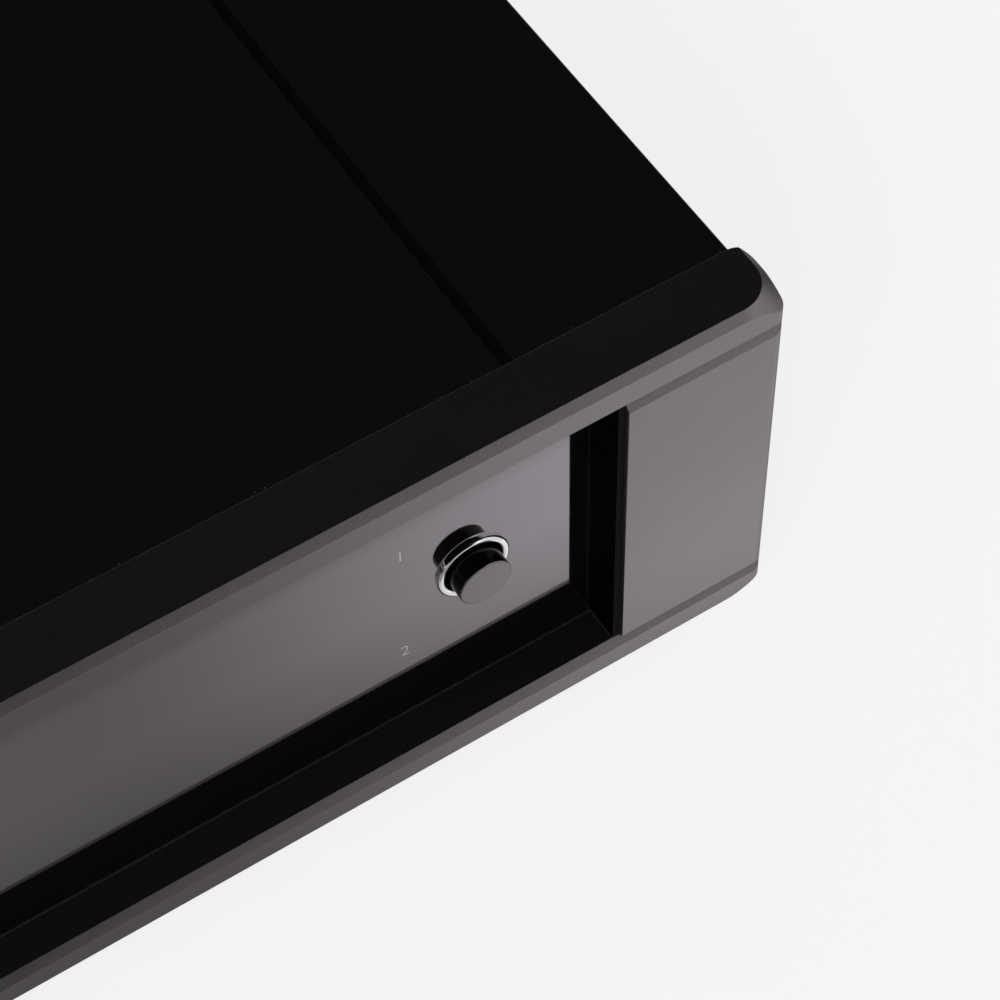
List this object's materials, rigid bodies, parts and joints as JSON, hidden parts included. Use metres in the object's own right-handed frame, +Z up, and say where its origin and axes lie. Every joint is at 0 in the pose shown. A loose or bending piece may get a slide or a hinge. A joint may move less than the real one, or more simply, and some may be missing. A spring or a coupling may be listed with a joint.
{
  "type": "phono preamp",
  "caption": "Half-width phono preamp: black machined bezel with a recessed gloss panel and ringed push buttons, grooved cover, phono jacks, earth terminal and mains inlet behind.",
  "frame": {"origin": "under the middle of the part, on the surface that the feet stand on", "axes": "+X to the right seen from the front, the front faces -Y, +Z up"},
  "size_m": [0.216, 0.246, 0.082],
  "materials": {
    "bezel_black": "satin powder coat",
    "cover_black": "satin powder coat",
    "tray_black": "matt powder coat",
    "rear_black": "matt powder coat",
    "panel_gloss": "mirror-like gloss",
    "gasket_foam": "closed-cell foam",
    "ring_chrome": "polished",
    "cap_black": "gloss",
    "switch_black": "moulded",
    "plunger_grey": "moulded",
    "board_green": "solder mask",
    "steel_zinc": "zinc plated",
    "screw_black": "black oxide",
    "foot_rubber": "moulded",
    "plated_gold": "gold plated",
    "insert_white": "moulded",
    "insert_red": "moulded",
    "inlet_black": "moulded",
    "pin_steel": "nickel plated",
    "fuse_caps": "nickel plated caps on glass",
    "lever_white": "moulded",
    "winding_tape": "film tape",
    "capacitor_sleeve": "shrink sleeve",
    "film_red": "moulded",
    "chip_black": "moulded",
    "relay_blue": "moulded",
    "sink_aluminium": "extruded"
  },
  "bodies": {
    "case": {"front_bezel": "bezel_black", "fascia_panel": "panel_gloss", "panel_gasket": "gasket_foam", "power_ring": "ring_chrome", "selector_ring": "ring_chrome", "power_switch": "switch_black", "selector_switch": "switch_black", "front_board": "board_green", "front_board_screws": "steel_zinc", "bezel_screws": "steel_zinc", "chassis_base": "tray_black", "top_cover": "cover_black", "cover_screws": "screw_black", "rear_panel": "rear_black", "rear_screws": "screw_black", "foot_front_left": "foot_rubber", "foot_front_right": "foot_rubber", "foot_rear_left": "foot_rubber", "foot_rear_right": "foot_rubber", "foot_screws": "steel_zinc", "jack_output_left": "plated_gold", "jack_output_right": "plated_gold", "jack_coil_left": "plated_gold", "jack_coil_right": "plated_gold", "jack_magnet_left": "plated_gold", "jack_magnet_right": "plated_gold", "jack_inserts_white": "insert_white", "jack_inserts_red": "insert_red", "jack_contacts": "plated_gold", "jack_nuts": "plated_gold", "jack_board": "board_green", "ground_post": "plated_gold", "mains_inlet": "inlet_black", "inlet_pins": "pin_steel", "inlet_screws": "screw_black", "gain_switch": "switch_black", "load_switch": "switch_black", "main_board": "board_green", "board_standoffs": "steel_zinc", "board_screws": "steel_zinc", "transformer_winding": "winding_tape", "transformer_pads": "foot_rubber", "transformer_plate": "steel_zinc", "transformer_bolt": "steel_zinc", "filter_capacitors": "capacitor_sleeve", "film_capacitors": "film_red", "amplifier_chips": "chip_black", "input_relays": "relay_blue", "heat_sink": "sink_aluminium", "voltage_regulators": "chip_black"},
    "selector_button": {"selector_cap": "cap_black", "selector_plunger": "plunger_grey"},
    "power_button": {"power_cap": "cap_black", "power_plunger": "plunger_grey"},
    "gain_lever": {"gain_slider": "lever_white"},
    "load_lever": {"load_slider": "lever_white"},
    "fuse_carrier": {"fuse_drawer": "inlet_black", "fuse": "fuse_caps"},
    "earth_washer": {"ground_washer": "plated_gold"},
    "earth_nut": {"ground_nut": "plated_gold"}
  },
  "joints": [
    {"name": "selector_press", "type": "slide", "parent": "case", "child": "selector_button", "axis": [0, 1, 0], "range_m": [0, 0.0012], "stiffness_N_per_m": 1200},
    {"name": "power_press", "type": "slide", "parent": "case", "child": "power_button", "axis": [0, 1, 0], "range_m": [0, 0.0012], "stiffness_N_per_m": 1200},
    {"name": "gain_slide", "type": "slide", "parent": "case", "child": "gain_lever", "axis": [1, 0, 0], "range_m": [0, 0.004]},
    {"name": "load_slide", "type": "slide", "parent": "case", "child": "load_lever", "axis": [1, 0, 0], "range_m": [0, 0.004]},
    {"name": "fuse_drawer_slide", "type": "slide", "parent": "case", "child": "fuse_carrier", "axis": [0, 1, 0], "range_m": [0, 0.019]},
    {"name": "washer_slide", "type": "slide", "parent": "case", "child": "earth_washer", "axis": [0, 1, 0], "range_m": [0, 0.003]},
    {"name": "nut_turn", "type": "hinge", "parent": "earth_washer", "child": "earth_nut", "pos_m": [0.07, 0.112, 0.0674], "axis": [0, 1, 0], "range_deg": [0, 1542.8]}
  ],
  "couplings": [
    {"joint": "nut_turn", "follows": "washer_slide", "rad_per_m": 8975.6}
  ]
}
